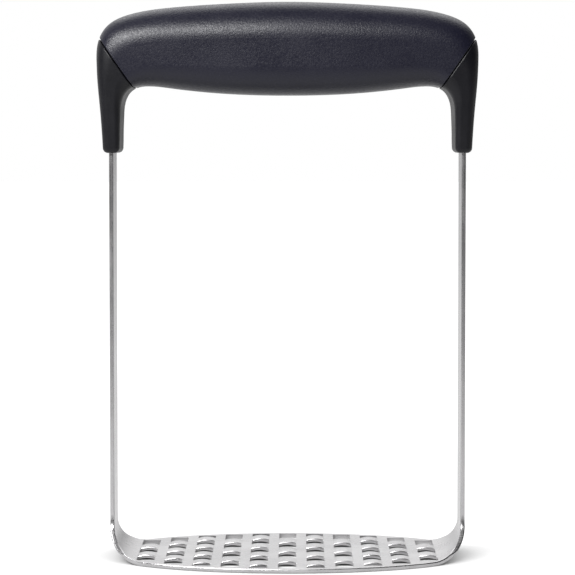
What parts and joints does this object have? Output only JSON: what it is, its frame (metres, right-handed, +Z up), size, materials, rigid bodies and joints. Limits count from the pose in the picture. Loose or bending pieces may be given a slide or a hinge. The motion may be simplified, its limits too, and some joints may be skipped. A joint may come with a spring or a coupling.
{
  "type": "potato masher",
  "caption": "Potato masher with a flat oval slotted steel plate, two upright strip legs and a soft horizontal grip between hard shoulders.",
  "frame": {"origin": "centre of the mashing plate's underside, on the surface that the masher stands on", "axes": "+Z up from the plate to the grip, +X across the plate along the grip, -Y towards the user"},
  "size_m": [0.13, 0.066, 0.1907],
  "materials": {
    "stainless_sheet": "fine satin, edges tumbled smooth",
    "hard_black_plastic": "satin moulded",
    "soft_black_grip": "matte soft-touch, finely textured",
    "fastener_steel": "plated"
  },
  "bodies": {
    "root": {"mashing_frame": "stainless_sheet", "core_front_shell": "hard_black_plastic", "core_rear_shell": "hard_black_plastic", "soft_grip": "soft_black_grip", "left_tang_pin": "fastener_steel", "right_tang_pin": "fastener_steel", "left_outer_screw": "fastener_steel", "left_inner_screw": "fastener_steel", "right_inner_screw": "fastener_steel", "right_outer_screw": "fastener_steel"}
  },
  "joints": []
}
